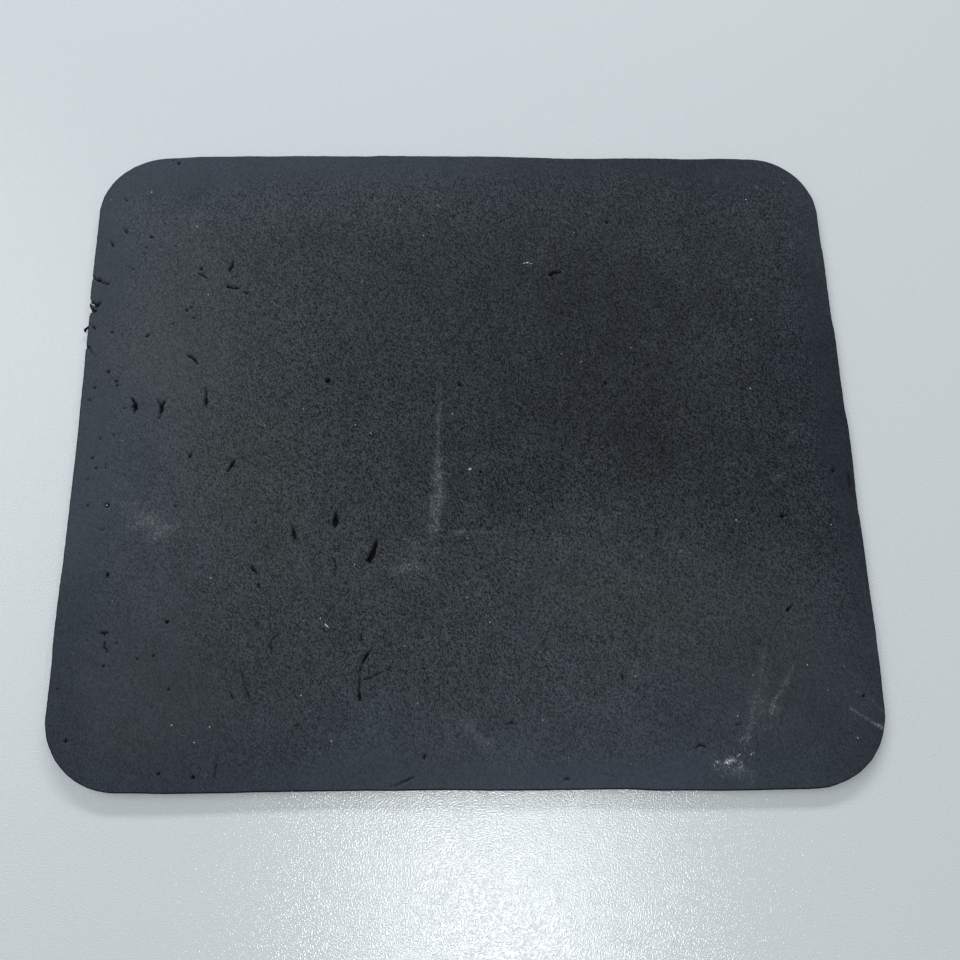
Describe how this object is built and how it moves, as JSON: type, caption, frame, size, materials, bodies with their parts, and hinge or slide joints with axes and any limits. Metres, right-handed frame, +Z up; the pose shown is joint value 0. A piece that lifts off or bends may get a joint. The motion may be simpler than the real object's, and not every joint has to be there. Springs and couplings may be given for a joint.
{
  "type": "desk mat",
  "caption": "Thin flat rounded-rectangle desk mat: foam rubber sheet with a knitted cloth face laminated underneath, shown foam side up and worn.",
  "frame": {"origin": "middle of the flat face that lies on the desk, which is the cloth face", "axes": "+X along the 210 mm side, +Y along the 180 mm side, +Z up out of the bare foam face"},
  "size_m": [0.21, 0.18, 0.002],
  "materials": {
    "foam_rubber": "matte, fine pebbled foam skin, worn",
    "adhesive": "dull translucent hot-melt film",
    "knit_cloth": "fine weft-knitted polyester, matte with a slight sheen"
  },
  "bodies": {
    "root": {"foam_base": "foam_rubber", "adhesive_film": "adhesive", "cloth_face": "knit_cloth"}
  },
  "joints": []
}
